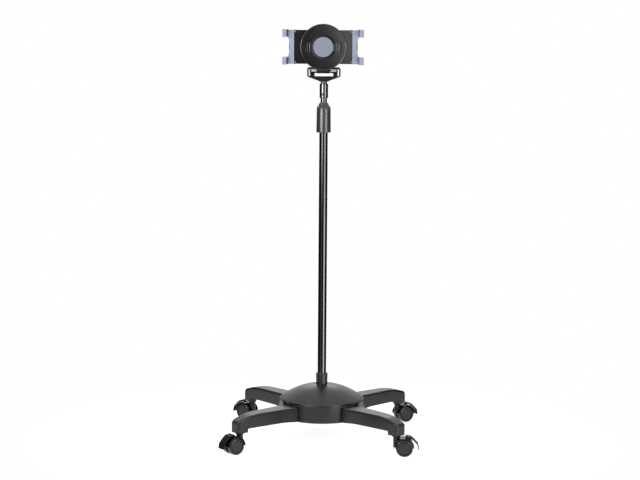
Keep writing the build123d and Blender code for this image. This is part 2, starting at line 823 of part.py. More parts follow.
# Yoke: V web on a neck, side arms and a top bar round a window, and two feet with the hinge's ears
yoke_outline = [
    (-neck_radius, yoke_foot_z),
    (neck_radius, yoke_foot_z),
    (yoke_half_width, yoke_corner_z),
    (yoke_half_width, yoke_top),
    (-yoke_half_width, yoke_top),
    (-yoke_half_width, yoke_corner_z),
]
loop_half = yoke_half_width - yoke_arm
bar_bottom = yoke_top - yoke_bar
foot_middle = (yoke_window_half + yoke_foot_outer) / 2
foot_width = yoke_foot_outer - yoke_window_half
ear_middle = yoke_foot_outer - ear_width / 2
back_middle = (knuckle_half + yoke_foot_outer) / 2
with BuildPart() as head_yoke:
    with BuildSketch(Plane.XZ) as yoke_face:
        with BuildLine():
            Polyline(*yoke_outline, close=True)
        make_face()
        fillet(yoke_face.vertices().group_by(Axis.Y)[-1], yoke_top_round)
        fillet(yoke_face.vertices().group_by(Axis.Y)[1], yoke_corner_round)
        with Locations((0, (yoke_slit_bottom + bar_bottom) / 2)):
            Rectangle(2 * loop_half, bar_bottom - yoke_slit_bottom, mode=Mode.SUBTRACT)
        with Locations((0, (yoke_window_bottom + bar_bottom) / 2)):
            Rectangle(2 * yoke_window_half, bar_bottom - yoke_window_bottom, mode=Mode.SUBTRACT)
        with Locations(
            (-foot_middle, (yoke_slit_bottom + yoke_foot_top) / 2),
            (foot_middle, (yoke_slit_bottom + yoke_foot_top) / 2),
        ):
            Rectangle(foot_width, yoke_foot_top - yoke_slit_bottom)
    extrude(amount=yoke_half_depth, both=True)
    yoke_faces = head_yoke.faces().filter_by(Plane.XZ).sort_by(Axis.Y)
    fillet(yoke_faces[0].outer_wire().edges() + yoke_faces[-1].outer_wire().edges(), yoke_edge_round)
    with BuildSketch(Plane.XZ):
        with Locations((0, (yoke_foot_top + yoke_top) / 2)):
            Rectangle(2 * loop_half, yoke_top - yoke_foot_top + body_gap)
    extrude(amount=yoke_half_depth, mode=Mode.SUBTRACT)
    with BuildSketch(Plane.XZ):
        with Locations(
            (-back_middle, (yoke_foot_top + bar_bottom) / 2),
            (back_middle, (yoke_foot_top + bar_bottom) / 2),
        ):
            Rectangle(yoke_foot_outer - knuckle_half, bar_bottom - yoke_foot_top)
    extrude(amount=-yoke_half_depth)
    for side in (-1, 1):
        with BuildSketch(hinge_side.offset(side * ear_middle)):
            with BuildLine():
                Polyline(
                    (yoke_half_depth - hinge_front, yoke_gusset_low - hinge_z),
                    (ear_radius, yoke_gusset_front_z - hinge_z),
                    (ear_radius, 0),
                    (-ear_radius, 0),
                    (-ear_radius, yoke_foot_top - hinge_z),
                    (yoke_half_depth - hinge_front, yoke_foot_top - hinge_z),
                    close=True,
                )
            make_face()
            Circle(ear_radius)
        extrude(amount=ear_width / 2, both=True)
    with BuildSketch(hinge_side):
        Circle(tilt_axle_radius + running_gap)
    extrude(amount=yoke_foot_outer, both=True, mode=Mode.SUBTRACT)
    with BuildSketch(Plane.XY.offset(socket_top)):
        Circle(neck_radius)
    extrude(amount=neck_height)
    with BuildSketch(Plane.XY.offset(socket_cap_bottom - body_gap)):
        Circle(pan_spigot_radius)
    extrude(amount=socket_top - socket_cap_bottom + body_gap)
    with BuildSketch(Plane.XY.offset(socket_cap_bottom - body_gap)):
        Circle(pan_screw_radius + running_gap)
    extrude(amount=pan_screw_depth, mode=Mode.SUBTRACT)
save(head_yoke.part, "head_yoke")

# Pan screw: holds the spigot from inside the socket
with BuildPart() as pan_screw:
    with BuildSketch(Plane.XY.offset(socket_cap_bottom - body_gap)):
        Circle(pan_head_radius)
    extrude(amount=-pan_head_height)
    with BuildSketch(Plane.XY.offset(socket_cap_bottom - body_gap)):
        Circle(pan_screw_radius)
    extrude(amount=pan_screw_depth - running_gap)
save(pan_screw.part, "pan_screw")

# Tilt axle with a flat cap at each end, and a steel spacer on each side of the bracket's knuckle
with BuildPart() as tilt_axle:
    with BuildSketch(hinge_side):
        Circle(tilt_axle_radius)
    extrude(amount=yoke_foot_outer, both=True)
    for side in (-1, 1):
        with BuildSketch(hinge_side.offset(side * yoke_foot_outer)):
            Circle(tilt_axle_cap_radius)
        extrude(amount=side * tilt_axle_cap)
    spacer_inner = knuckle_half + spacer_gap
    spacer_outer = yoke_foot_outer - ear_width - spacer_gap
    for side in (-1, 1):
        with BuildSketch(hinge_side.offset(side * (spacer_inner + spacer_outer) / 2)):
            Circle(spacer_radius)
            Circle(tilt_axle_radius + running_gap, mode=Mode.SUBTRACT)
        extrude(amount=(spacer_outer - spacer_inner) / 2, both=True)
save(tilt_axle.part, "tilt_axle")

# Tilt bracket: knuckle, neck and the plate behind the holder
with BuildPart() as tilt_bracket:
    with BuildSketch(hinge_side):
        Circle(knuckle_radius)
    extrude(amount=knuckle_half, both=True)
    with BuildSketch(Plane.XZ.offset(hinge_front)):
        with Locations((0, (bracket_neck_bottom + bracket_neck_top) / 2)):
            Rectangle(2 * bracket_low_half, bracket_neck_top - bracket_neck_bottom)
    extrude(amount=bracket_front - hinge_front)
    with BuildSketch(Plane.XZ.offset(bracket_back)):
        with BuildLine():
            Polyline(
                (-bracket_low_half, bracket_neck_bottom),
                (bracket_low_half, bracket_neck_bottom),
                (bracket_half_width, bracket_wide_z),
                (bracket_half_width, holder_z),
                (-bracket_half_width, holder_z),
                (-bracket_half_width, bracket_wide_z),
                close=True,
            )
        make_face()
        with Locations((0, holder_z)):
            Circle(bracket_half_width)
    extrude(amount=bracket_thickness)
    for side in (-1, 1):
        with BuildSketch(hinge_side.offset(side * bracket_rib_x)):
            with BuildLine():
                Polyline(
                    (bracket_back - hinge_front, bracket_neck_top - hinge_z),
                    (bracket_back - hinge_front - bracket_rib_depth, bracket_neck_top - hinge_z),
                    (bracket_back - hinge_front, bracket_rib_top - hinge_z),
                    close=True,
                )
            make_face()
        extrude(amount=bracket_rib / 2, both=True)
    with BuildSketch(hinge_side):
        Circle(tilt_axle_radius + running_gap)
    extrude(amount=yoke_foot_outer, both=True, mode=Mode.SUBTRACT)
    with BuildSketch(holder_face.offset(bracket_back)):
        Circle(hub_spigot_radius + running_gap)
    extrude(amount=bracket_thickness, mode=Mode.SUBTRACT)
save(tilt_bracket.part, "tilt_bracket")

# Friction washer on the bracket's front
with BuildPart() as friction_washer:
    with BuildSketch(holder_face.offset(bracket_front)):
        Circle(washer_radius)
        Circle(hub_spigot_radius + washer_bore_gap, mode=Mode.SUBTRACT)
    extrude(amount=washer_thickness)
save(friction_washer.part, "friction_washer")

# Rotation hub: flange under the housing with a spigot back through the bracket
spigot_back = bracket_back - hub_spigot_proud
with BuildPart() as rotation_hub:
    with BuildSketch(holder_face.offset(washer_front)):
        Circle(hub_flange_radius)
    extrude(amount=hub_flange)
    with BuildSketch(holder_face.offset(spigot_back)):
        Circle(hub_spigot_radius)
    extrude(amount=washer_front - spigot_back)
    with BuildSketch(holder_face.offset(spigot_back)):
        Circle(rotation_screw_radius + running_gap)
    extrude(amount=rotation_screw_depth, mode=Mode.SUBTRACT)
save(rotation_hub.part, "rotation_hub")

with BuildPart() as rotation_screw:
    with BuildSketch(holder_face.offset(spigot_back)):
        Circle(rotation_head_radius)
    extrude(amount=-rotation_head_height)
    with BuildSketch(holder_face.offset(spigot_back)):
        Circle(rotation_screw_radius)
    extrude(amount=rotation_screw_depth - running_gap)
save(rotation_screw.part, "rotation_screw")

screw_spots = GridLocations(2 * housing_screw_x, 2 * housing_screw_z, 2, 2)

# Rear housing: a round shell with two rails that the slide plates run between
with BuildPart() as rear_housing:
    with BuildSketch(holder_face.offset(hub_front)):
        Circle(housing_radius)
    extrude(amount=housing_depth)
    fillet(rear_housing.edges().filter_by(GeomType.CIRCLE).sort_by(Axis.Y)[-1], housing_edge_round)
    with BuildSketch(holder_face.offset(hub_front + housing_wall)):
        Circle(housing_radius - housing_wall)
    extrude(amount=housing_depth, mode=Mode.SUBTRACT)
    with BuildSketch(holder_face.offset(hub_front + housing_wall)):
        Circle(housing_radius)
        Rectangle(2 * housing_radius, 2 * rail_z, mode=Mode.SUBTRACT)
    extrude(amount=disc_back - hub_front - housing_wall)
    with BuildSketch(holder_face.offset(hub_front + housing_wall)):
        Circle(pinion_shoulder_radius)
    extrude(amount=rack_front - rack_thickness - hub_front - housing_wall)
    with BuildSketch(holder_face.offset(hub_front + housing_wall)):
        Circle(pinion_pin_radius)
    extrude(amount=rack_front - hub_front - housing_wall)
    with BuildSketch(holder_face.offset(hub_front)):
        with screw_spots:
            Circle(housing_screw_radius + running_gap)
    extrude(amount=disc_back - hub_front, mode=Mode.SUBTRACT)
save(rear_housing.part, "rear_housing")

with BuildPart() as housing_screws:
    with BuildSketch(holder_face.offset(hub_front)):
        with screw_spots:
            Circle(housing_screw_head_radius)
    extrude(amount=-housing_screw_head)
    with BuildSketch(holder_face.offset(hub_front)):
        with screw_spots:
            Circle(housing_screw_radius)
    extrude(amount=disc_back - hub_front + housing_screw_bite - running_gap)
save(housing_screws.part, "housing_screws")

# Front disc: rounded rim, an annular groove and a shallow recess for the centre pad
with BuildPart() as front_disc:
    with BuildSketch(holder_face.offset(disc_back)):
        Circle(disc_radius)
    extrude(amount=disc_thickness)
    fillet(front_disc.edges().filter_by(GeomType.CIRCLE).sort_by(Axis.Y)[0], disc_edge_round)
    with BuildSketch(holder_face.offset(disc_front - disc_groove_depth)):
        Circle(disc_groove_outer)
        Circle(disc_groove_inner, mode=Mode.SUBTRACT)
    extrude(amount=disc_groove_depth, mode=Mode.SUBTRACT)
    groove_edges = front_disc.edges().filter_by(GeomType.CIRCLE).filter_by(
        lambda e: disc_groove_inner <= e.radius <= disc_groove_outer
    )
    fillet(groove_edges, disc_groove_round)
    with BuildSketch(holder_face.offset(pad_back)):
        Circle(pad_radius + body_gap)
    extrude(amount=pad_recess, mode=Mode.SUBTRACT)
    with BuildSketch(holder_face.offset(disc_back)):
        with screw_spots:
            Circle(housing_screw_radius + running_gap)
    extrude(amount=housing_screw_bite, mode=Mode.SUBTRACT)
save(front_disc.part, "front_disc")

with BuildPart() as centre_pad:
    with BuildSketch(holder_face.offset(pad_back)):
        Circle(pad_radius)
    extrude(amount=pad_thickness)
    chamfer(centre_pad.edges().filter_by(GeomType.CIRCLE).sort_by(Axis.Y)[0], pad_edge_round)
save(centre_pad.part, "centre_pad")

# Pinion: straight-flanked teeth, reaching less than a module past the pitch circle
tooth_root = pitch_radius - gear_module
tooth_tip = pitch_radius + gear_module * gear_reach_share
tooth_root_half = gear_root_share * tooth_pitch / 2
tooth_tip_half = gear_tip_share * tooth_pitch / 2
with BuildPart() as pinion:
    with BuildSketch(holder_face.offset(rack_front - rack_thickness)):
        Circle(tooth_root)
        with PolarLocations(0, gear_teeth, start_angle=90):
            Polygon(
                (tooth_root - gear_module, -tooth_root_half),
                (tooth_root, -tooth_root_half),
                (tooth_tip, -tooth_tip_half),
                (tooth_tip, tooth_tip_half),
                (tooth_root, tooth_root_half),
                (tooth_root - gear_module, tooth_root_half),
                align=None,
            )
        Circle(pinion_pin_radius + running_gap, mode=Mode.SUBTRACT)
    extrude(amount=rack_thickness)
save(pinion.part, "pinion")

# Left slide: its plate, and its rack arm behind the other plate, above the pinion
rack_root = pitch_radius + gear_module
rack_tip = pitch_radius - gear_module * gear_reach_share
rack_top = rack_root + rack_back_height
rack_tooth_count = 2 * int(rack_half_length / tooth_pitch)
plate_middle = (plate_inner + plate_outer) / 2
arm_pad_length = rack_half_length - plate_inner
with BuildPart() as left_slide:
    with BuildSketch(holder_face.offset(plate_back)) as plate_face:
        with Locations((-plate_middle, 0)):
            Rectangle(plate_outer - plate_inner, 2 * plate_half_height)
        fillet(plate_face.vertices(), plate_corner_round)
    extrude(amount=plate_thickness)
    with BuildSketch(holder_face.offset(rack_front - rack_thickness)):
        with Locations((0, (rack_root + rack_top) / 2)):
            Rectangle(2 * rack_half_length, rack_top - rack_root)
        with Locations((0, (rack_root + rack_tip) / 2)):
            with GridLocations(tooth_pitch, 0, rack_tooth_count, 1):
                Trapezoid(
                    gear_root_share * tooth_pitch,
                    rack_root - rack_tip,
                    left_side_angle=gear_flank_angle,
                    rotation=180,
                )
    extrude(amount=rack_thickness)
    with BuildSketch(holder_face.offset(rack_front)):
        with Locations((-(plate_inner + rack_half_length) / 2, (rack_root + rack_top) / 2)):
            Rectangle(arm_pad_length, rack_top - rack_root)
    extrude(amount=plate_back - rack_front)
    with BuildSketch(holder_face.offset(plate_back)):
        with Locations((-jaw_screw_x, -jaw_screw_z), (-jaw_screw_x, jaw_screw_z)):
            Circle(jaw_screw_radius + running_gap)
    extrude(amount=plate_thickness, mode=Mode.SUBTRACT)

# Left jaw: bar across the plate's end, a tongue behind it and two hooked lugs
jaw_outline = [
    (-jaw_inner, -jaw_half_height),
    (-jaw_inner, jaw_half_height),
    (-jaw_bar_outer, jaw_half_height),
    (-jaw_bar_outer, lug_low),
]
jaw_bar_front = plate_front + jaw_front
jaw_back = plate_back - jaw_tongue
lug_middle = (lug_low + lug_high) / 2
lug_height = lug_high - lug_low
lug_front = jaw_bar_front - lug_base + lug_reach
lip_back = lug_front - lug_lip_thickness
with BuildPart() as left_jaw:
    with BuildSketch(holder_face.offset(jaw_back)) as bar_face:
        with BuildLine():
            Polyline(*jaw_outline)
            ThreePointArc((-jaw_bar_outer, lug_low), (-jaw_waist, 0), (-jaw_bar_outer, -lug_low))
            Polyline(
                (-jaw_bar_outer, -lug_low),
                (-jaw_bar_outer, -jaw_half_height),
                (-jaw_inner, -jaw_half_height),
            )
        make_face()
    extrude(amount=jaw_bar_front - jaw_back)
    fillet(left_jaw.faces().sort_by(Axis.Y)[0].edges(), jaw_edge_round)
    with BuildSketch(holder_face.offset(jaw_back)):
        with Locations((-(jaw_tongue_inner + jaw_inner) / 2, 0)):
            Rectangle(jaw_inner - jaw_tongue_inner, 2 * jaw_half_height)
    extrude(amount=jaw_tongue)
    with BuildSketch(holder_face.offset(plate_back)):
        with Locations((-plate_middle, 0)):
            Rectangle(plate_outer - plate_inner, 2 * plate_half_height)
    extrude(amount=plate_thickness, mode=Mode.SUBTRACT)
    for side in (-1, 1):
        with BuildSketch(Plane.XY.offset(holder_z + side * lug_middle)):
            with BuildLine():
                Polyline(
                    (-jaw_bar_outer + jaw_edge_round, lug_base - jaw_bar_front),
                    (-jaw_bar_outer + jaw_edge_round, -jaw_back - lug_foot),
                    (-lug_outer, -jaw_back - lug_foot),
                    (-lug_outer, -lug_front),
                    (-lug_outer + lug_lip, -lug_front),
                    (-lug_outer + lug_lip, -lip_back),
                    (-lug_outer + lug_wall, -lip_back),
                    (-lug_outer + lug_wall, lug_base - jaw_bar_front),
                    close=True,
                )
            make_face()
        extrude(amount=lug_height / 2, both=True)
    lip_faces = left_jaw.faces().filter_by(Plane.XZ).sort_by(Axis.Y)[:2]
    fillet(lip_faces.edges(), lug_edge_round)
    with BuildSketch(holder_face.offset(jaw_back)):
        with Locations((-jaw_screw_x, -jaw_screw_z), (-jaw_screw_x, jaw_screw_z)):
            Circle(jaw_screw_radius + running_gap)
    extrude(amount=jaw_tongue, mode=Mode.SUBTRACT)

# Left jaw's rubber pads, one inside each lug
pad_wall_x = -lug_outer + lug_wall
pad_depth = lip_back - jaw_bar_front + lug_base
with BuildPart() as left_jaw_pads:
    for side in (-1, 1):
        with BuildSketch(Plane.XY.offset(holder_z + side * lug_middle)):
            with Locations((pad_wall_x + jaw_pad / 2, lug_base - jaw_bar_front - pad_depth / 2)):
                Rectangle(jaw_pad, pad_depth)
        extrude(amount=lug_height / 2 - jaw_pad_margin, both=True)

# Left jaw's screws, through the plate into the tongue
with BuildPart() as left_jaw_screws:
    with BuildSketch(holder_face.offset(plate_front)):
        with Locations((-jaw_screw_x, -jaw_screw_z), (-jaw_screw_x, jaw_screw_z)):
            Circle(jaw_screw_head_radius)
    extrude(amount=jaw_screw_head)
    with BuildSketch(holder_face.offset(jaw_back)):
        with Locations((-jaw_screw_x, -jaw_screw_z), (-jaw_screw_x, jaw_screw_z)):
            Circle(jaw_screw_radius)
    extrude(amount=plate_front - jaw_back)

# The right side is the left one turned half a turn about the holder's axis
holder_axis = Axis((0, 0, holder_z), (0, 1, 0))
sided_pieces = {
    "slide": left_slide,
    "jaw": left_jaw,
    "jaw_pads": left_jaw_pads,
    "jaw_screws": left_jaw_screws,
}
for name, piece in sided_pieces.items():
    save(piece.part, f"left_{name}")
    save(piece.part.rotate(holder_axis, 180), f"right_{name}")
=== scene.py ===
from math import cos, pi, radians, sin, sqrt

import bmesh
import bpy
from mathutils import Matrix, Vector


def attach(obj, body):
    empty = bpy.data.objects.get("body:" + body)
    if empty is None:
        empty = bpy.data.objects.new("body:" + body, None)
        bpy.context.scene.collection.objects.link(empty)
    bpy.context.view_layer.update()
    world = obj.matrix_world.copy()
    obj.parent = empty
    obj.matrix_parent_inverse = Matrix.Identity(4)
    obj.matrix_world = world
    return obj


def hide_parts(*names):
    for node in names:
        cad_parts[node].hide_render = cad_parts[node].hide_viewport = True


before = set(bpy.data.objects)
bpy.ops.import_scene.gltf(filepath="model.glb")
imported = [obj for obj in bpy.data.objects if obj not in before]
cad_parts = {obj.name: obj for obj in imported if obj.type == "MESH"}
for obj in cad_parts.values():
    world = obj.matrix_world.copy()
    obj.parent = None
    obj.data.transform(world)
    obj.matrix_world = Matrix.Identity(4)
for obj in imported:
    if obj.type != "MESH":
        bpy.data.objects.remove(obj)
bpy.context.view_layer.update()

# Adjustable tablet floor stand: the looks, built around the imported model.
# Sizes are in millimetres and become metres where a mesh is made. The studio is in metres.
# +Z is up and the front is -Y. Angles are in degrees, and a turn is counted from +X towards +Y.
# A profile is a list of (radius, height) pairs.
mm = 0.001
front_turn = -90.0
same_place = 0.01      # points this close are one
on_face = 0.05         # points this close to a face lie on it
edge_angle = 28.0      # edges sharper than this are rounded
crease_angle = 50.0    # edges sharper than this are shaded sharp

# Casters, each in a frame with its stem's axis at 0 and its wheels trailing to +X
wheel_radius = 25.0
wheel_bore = 3.05
wheel_inner_face = 4.8
wheel_outer_face = 21.8
caster_trail = 23.0
caster_circle = 321.0
caster_turns = {"front_right": 2.0, "front_left": 220.0, "rear_right": 31.0, "rear_left": 147.0}

# Hub and dome
hub_radius = 127.5
hub_bottom = 68.0
hub_top = 120.5
hub_wall_thickness = 4.5
hub_wall_span = 58.6
hub_core_hole = 16.0
dome_radius = 124.5
dome_rim_top = 121.5
dome_crown = 165.1
dome_thickness = 2.5
dome_hole = 17.55
dome_rings = 30

# Legs, each drawn along +X from inside the hub to its tip
leg_turns = {"front_right": -45.0, "front_left": -135.0, "rear_right": 45.0, "rear_left": 135.0}
leg_start = 96.0
leg_knee = 268.0
leg_shoulder = 300.0
leg_end = 341.0
leg_top = 112.0
leg_shoulder_top = 108.0
leg_end_top = 95.0
leg_belly_start = 172.0
leg_belly = 73.0
leg_block_start = 308.0
leg_block_bottom = 62.0
leg_root_half = 34.0
leg_tip_half = 20.5
panel_lip = 6.0
panel_ledge = 2.2
panel_slope = 0.4

# Head
holder_z = 1170.4
neck_top = 1068.2
disc_back = 55.1
disc_front = 63.1
disc_floor = 61.9
pocket_inner = 39.4
pocket_outer = 47.2
pocket_reach = 18.0


# Finishes

def ink(code):
    """Linear colour of an sRGB hex value."""
    shares = [int(code[place:place + 2], 16) / 255 for place in (0, 2, 4)]
    linear = [share / 12.92 if share <= 0.04045 else ((share + 0.055) / 1.055) ** 2.4 for share in shares]
    return (*linear, 1.0)


def add_node(owner, kind, sockets=(), **settings):
    """Add one node to a material or world; a socket takes a plain value or another node's output."""
    made = owner.node_tree.nodes.new(kind)
    for name, value in settings.items():
        setattr(made, name, value)
    for name, value in dict(sockets).items():
        if isinstance(value, bpy.types.NodeSocket):
            owner.node_tree.links.new(value, made.inputs[name])
        else:
            made.inputs[name].default_value = value
    return made


def new_finish(name):
    """A new material with an empty node tree."""
    finish = bpy.data.materials.new(name)
    finish.use_nodes = True
    finish.node_tree.nodes.clear()
    return finish


def moulded_plastic(name, pigment, worn, rough, grain_mm, grain_depth_mm, gloss=0.5, spread=0.06,
                    cloud_mm=60.0):
    """Moulded plastic or lacquer: a fine grain, and a tone and a sheen that vary in soft clouds."""
    finish = new_finish(name)
    place = add_node(finish, "ShaderNodeTexCoord").outputs["Object"]
    clouds = add_node(finish, "ShaderNodeTexNoise",
                      {"Vector": place, "Scale": 1 / (cloud_mm * mm), "Detail": 4.0, "Roughness": 0.6})
    tone = add_node(finish, "ShaderNodeMix",
                    {"Factor": clouds.outputs["Fac"], 6: ink(pigment), 7: ink(worn)}, data_type="RGBA")
    grain = add_node(finish, "ShaderNodeTexNoise",
                     {"Vector": place, "Scale": 1 / (grain_mm * mm), "Detail": 3.0, "Roughness": 0.55})
    relief = add_node(finish, "ShaderNodeBump",
                      {"Height": grain.outputs["Fac"], "Strength": 1.0, "Distance": grain_depth_mm * mm})
    rub = add_node(finish, "ShaderNodeMapRange",
                   {"Value": clouds.outputs["Fac"], "From Min": 0.3, "From Max": 0.7,
                    "To Min": rough - spread, "To Max": rough + spread})
    surface = add_node(finish, "ShaderNodeBsdfPrincipled",
                       {"Base Color": tone.outputs[2], "Roughness": rub.outputs["Result"],
                        "Normal": relief.outputs["Normal"], "IOR": 1.5, "Specular IOR Level": gloss})
    add_node(finish, "ShaderNodeOutputMaterial", {"Surface": surface.outputs["BSDF"]})
    return finish


def plated_metal(name, metal, dull, rough, streak_mm):
    """Plated or bare steel, with faint streaks along Z, drawn coarser than real polish lines to show."""
    finish = new_finish(name)
    place = add_node(finish, "ShaderNodeTexCoord").outputs["Object"]
    drawn_out = (1.0, 1.0, 0.04)
    smoother, duller = 0.7, 1.3
    drawn = add_node(finish, "ShaderNodeMapping", {"Vector": place, "Scale": drawn_out})
    streaks = add_node(finish, "ShaderNodeTexNoise",
                       {"Vector": drawn.outputs["Vector"], "Scale": 1 / (streak_mm * mm), "Detail": 2.0})
    tone = add_node(finish, "ShaderNodeMix",
                    {"Factor": streaks.outputs["Fac"], 6: ink(metal), 7: ink(dull)}, data_type="RGBA")
    polish = add_node(finish, "ShaderNodeMapRange",
                      {"Value": streaks.outputs["Fac"], "To Min": rough * smoother, "To Max": rough * duller})
    surface = add_node(finish, "ShaderNodeBsdfPrincipled",
                       {"Base Color": tone.outputs[2], "Roughness": polish.outputs["Result"],
                        "Metallic": 1.0})
    add_node(finish, "ShaderNodeOutputMaterial", {"Surface": surface.outputs["BSDF"]})
    return finish


def stoved_enamel(name, paint, dusty):
    """Gloss stoving enamel on steel tube, with the faint orange peel of sprayed paint under thin dust."""
    peel_mm, peel_depth_mm, dust_mm = 4.0, 0.0015, 45.0
    finish = new_finish(name)
    place = add_node(finish, "ShaderNodeTexCoord").outputs["Object"]
    peel = add_node(finish, "ShaderNodeTexNoise",
                    {"Vector": place, "Scale": 1 / (peel_mm * mm), "Detail": 2.0})
    relief = add_node(finish, "ShaderNodeBump",
                      {"Height": peel.outputs["Fac"], "Strength": 1.0, "Distance": peel_depth_mm * mm})
    dust = add_node(finish, "ShaderNodeTexNoise",
                    {"Vector": place, "Scale": 1 / (dust_mm * mm), "Detail": 5.0})
    film = add_node(finish, "ShaderNodeMapRange",
                    {"Value": dust.outputs["Fac"], "From Min": 0.35, "From Max": 0.7,
                     "To Min": 0.09, "To Max": 0.15})
    tone = add_node(finish, "ShaderNodeMix",
                    {"Factor": dust.outputs["Fac"], 6: ink(paint), 7: ink(dusty)}, data_type="RGBA")
    surface = add_node(finish, "ShaderNodeBsdfPrincipled",
                       {"Base Color": tone.outputs[2], "Roughness": film.outputs["Result"],
                        "Normal": relief.outputs["Normal"], "IOR": 1.5, "Specular IOR Level": 1.0})
    add_node(finish, "ShaderNodeOutputMaterial", {"Surface": surface.outputs["BSDF"]})
    return finish


# Real mould grain is 0.1 to 0.5 mm, too fine to show, so each grain below is drawn coarser, and shallow.

# Base, legs and hub: charcoal ABS, moulded. The eye sees a soft dark grey that goes pale at a low angle.
charcoal_abs = moulded_plastic("charcoal_abs_moulded", pigment="1b1b1e", worn="212124", rough=0.25,
                               grain_mm=1.4, grain_depth_mm=0.005, gloss=0.35, spread=0.03)
# Dome: the same resin with a finer grain. The eye sees one broad, even glow.
dome_abs = moulded_plastic("charcoal_abs_dome", pigment="1b1b1e", worn="212124", rough=0.30,
                           grain_mm=1.2, grain_depth_mm=0.004, gloss=0.45, spread=0.03)
# Caster hoods, stems, swivel caps and snap button: gloss black nylon. The eye sees near black with
# small hard highlights.
hood_nylon = moulded_plastic("black_nylon_gloss_moulded", pigment="060607", worn="0a0a0b", rough=0.16,
                             grain_mm=2.5, grain_depth_mm=0.004, gloss=0.3, spread=0.03)
# Brake pedals: the same nylon with a matt face for the shoe. The eye sees black with hardly a highlight.
brake_nylon = moulded_plastic("black_nylon_matt_moulded", pigment="060607", worn="0a0a0b", rough=0.34,
                              grain_mm=2.0, grain_depth_mm=0.003, gloss=0.12, spread=0.03)
# Wheels: dark grey nylon, satin. The eye sees small cloudy patches, where the floor has scuffed them.
wheel_nylon = moulded_plastic("grey_nylon_satin_moulded", pigment="141416", worn="1d1d20", rough=0.25,
                              grain_mm=0.9, grain_depth_mm=0.004, gloss=0.4, cloud_mm=9.0)
# Twist grip: satin grey-black nylon. The eye sees broad soft bands of light.
grip_nylon = moulded_plastic("grip_nylon_satin_moulded", pigment="303134", worn="37383a", rough=0.25,
                             grain_mm=1.0, grain_depth_mm=0.001, gloss=0.65, spread=0.02)
# Holder and slides: black ABS, satin, with hardly any grain. The eye sees black that turns grey with
# the light.
head_abs = moulded_plastic("black_abs_satin_moulded", pigment="141417", worn="1a1a1d", rough=0.14,
                           grain_mm=1.1, grain_depth_mm=0.001, gloss=0.8, spread=0.02)
# Yoke and tilt bracket: black nylon, a little duller than the holder.
yoke_nylon = moulded_plastic("black_nylon_yoke_moulded", pigment="0d0d0f", worn="131315", rough=0.22,
                             grain_mm=1.3, grain_depth_mm=0.003, gloss=0.45, spread=0.03)
# Jaws: pale blue-grey ABS. The eye sees a smooth face with a soft sheen.
jaw_abs = moulded_plastic("blue_grey_abs_moulded", pigment="868d9f", worn="8d94a6", rough=0.26,
                          grain_mm=1.0, grain_depth_mm=0.002, gloss=0.6, spread=0.03)
# Pads: blue-grey silicone rubber. The eye sees a matt, slightly dusty face.
pad_silicone = moulded_plastic("blue_grey_silicone_pad", pigment="767b8a", worn="7c8190", rough=0.62,
                               grain_mm=0.8, grain_depth_mm=0.004, gloss=0.3)
# Bushes and gear: white acetal, waxy smooth.
bush_acetal = moulded_plastic("white_acetal_turned", pigment="d9d9d4", worn="e2e2dc", rough=0.35,
                              grain_mm=1.5, grain_depth_mm=0.006)
# Collar: black nylon, moulded. The eye sees a softer sheen than the tube's.
collar_nylon = moulded_plastic("black_nylon_collar_moulded", pigment="0f0f11", worn="151517", rough=0.24,
                               grain_mm=1.6, grain_depth_mm=0.003, gloss=0.5)
# Upper pole, socket and neck: black lacquer over steel. The eye sees white bands beside black ones.
black_lacquer = moulded_plastic("black_lacquer_on_steel", pigment="09090a", worn="0f0f10", rough=0.09,
                                grain_mm=3.0, grain_depth_mm=0.0008, gloss=1.0, spread=0.02)
# Lower pole: gloss black enamel. The eye sees sharp grey bands that waver a little down the tube.
tube_enamel = stoved_enamel("gloss_black_enamel_tube", paint="0a0a0b", dusty="121214")
# Small screws and axle ends: zinc plate, a cool light grey metal.
zinc_plate = plated_metal("zinc_plate_steel", metal="b9babc", dull="9d9ea1", rough=0.28, streak_mm=0.8)
# Tilt axle and its spacers: satin steel. The eye sees a bright, soft glint beside the black ears.
spacer_steel = plated_metal("satin_steel_spacer", metal="dddfe4", dull="cfd1d6", rough=0.42, streak_mm=3.0)
# Base plate and pole foot: bare mill steel, darker and dull.
mill_steel = plated_metal("mill_steel", metal="6f7073", dull="606164", rough=0.42, streak_mm=2.0)


# Making pieces

def round_off(mesh, edges, width, segments):
    """Round the given edges."""
    bmesh.ops.bevel(mesh, geom=edges, offset=width * mm, offset_type="OFFSET", affect="EDGES",
                    segments=segments, profile=0.5, material=-1, clamp_overlap=False)
    return mesh


def soften(mesh, width, limit=edge_angle, segments=2):
    """Round every edge that is sharper than the limit."""
    sharp = [edge for edge in mesh.edges
             if len(edge.link_faces) == 2 and edge.calc_face_angle(0.0) > radians(limit)]
    return round_off(mesh, sharp, width, segments)


def make_piece(name, mesh, body, finishes, stands_for=()):
    """Turn a finished bmesh into a piece that rides on its body and stands for its CAD nodes."""
    data = bpy.data.meshes.new(name)
    mesh.to_mesh(data)
    mesh.free()
    data.polygons.foreach_set("use_smooth", [True] * len(data.polygons))
    data.set_sharp_from_angle(angle=radians(crease_angle))
    for finish in finishes if isinstance(finishes, list) else [finishes]:
        data.materials.append(finish)
    piece = bpy.data.objects.new(name, data)
    bpy.context.scene.collection.objects.link(piece)
    flats = piece.modifiers.new("flat_faces_stay_flat", "WEIGHTED_NORMAL")
    flats.keep_sharp = True
    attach(piece, body)
    if stands_for:
        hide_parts(*stands_for)


